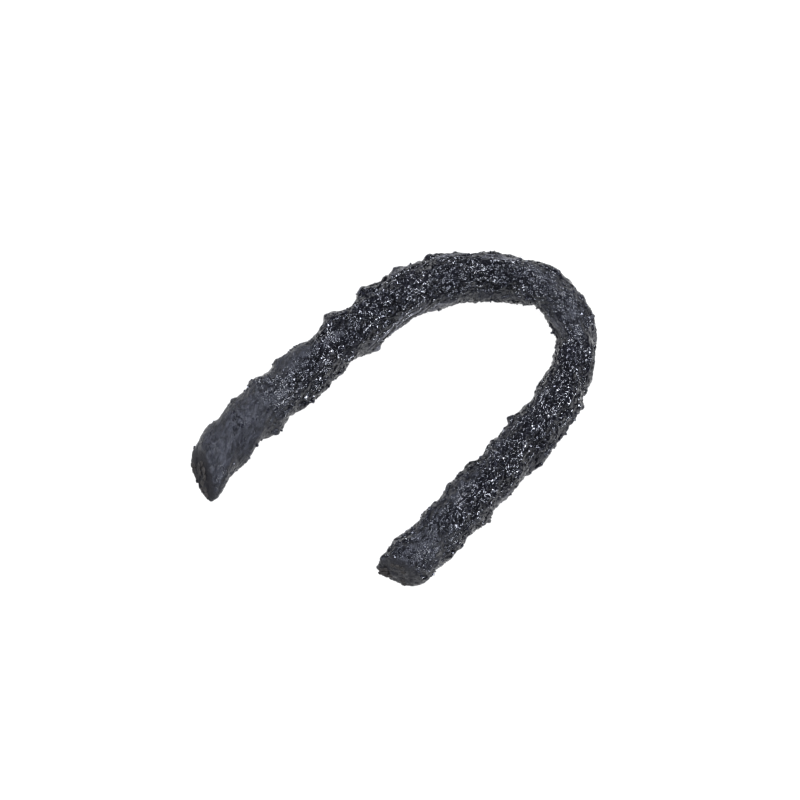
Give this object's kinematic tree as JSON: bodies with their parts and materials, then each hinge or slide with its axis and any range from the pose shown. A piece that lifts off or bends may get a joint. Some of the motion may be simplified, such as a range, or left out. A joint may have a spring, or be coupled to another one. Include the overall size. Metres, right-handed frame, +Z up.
{
  "type": "tyre plug strip",
  "caption": "Flexible puncture plug for a tubeless tyre: a short rope of rubber-soaked yarns in a rough, sticky butyl coat, bent into a flat U with plain cut ends.",
  "frame": {"origin": "on the rest face, under the middle of the bounding box of the bent strip", "axes": "+Z up off the rest face; +Y towards the bend, along the legs; +X towards the shorter leg"},
  "size_m": [0.0334, 0.0518, 0.0062],
  "materials": {
    "butyl_rubber": "tacky uncured butyl, charcoal black, grainy and lumpy, with fine glints and a few smoother pressed patches",
    "soaked_yarn": "dull dark multi-filament yarn soaked through with rubber, seen at the cut ends and where the coat is thin"
  },
  "bodies": {
    "root": {"butyl_coat": "butyl_rubber", "ply_a_core_yarn": "soaked_yarn", "ply_a_outer_yarn_1": "soaked_yarn", "ply_a_outer_yarn_2": "soaked_yarn", "ply_a_outer_yarn_3": "soaked_yarn", "ply_a_outer_yarn_4": "soaked_yarn", "ply_a_outer_yarn_5": "soaked_yarn", "ply_a_outer_yarn_6": "soaked_yarn", "ply_b_core_yarn": "soaked_yarn", "ply_b_outer_yarn_1": "soaked_yarn", "ply_b_outer_yarn_2": "soaked_yarn", "ply_b_outer_yarn_3": "soaked_yarn", "ply_b_outer_yarn_4": "soaked_yarn", "ply_b_outer_yarn_5": "soaked_yarn", "ply_b_outer_yarn_6": "soaked_yarn", "ply_c_core_yarn": "soaked_yarn", "ply_c_outer_yarn_1": "soaked_yarn", "ply_c_outer_yarn_2": "soaked_yarn", "ply_c_outer_yarn_3": "soaked_yarn", "ply_c_outer_yarn_4": "soaked_yarn", "ply_c_outer_yarn_5": "soaked_yarn", "ply_c_outer_yarn_6": "soaked_yarn"}
  },
  "joints": []
}
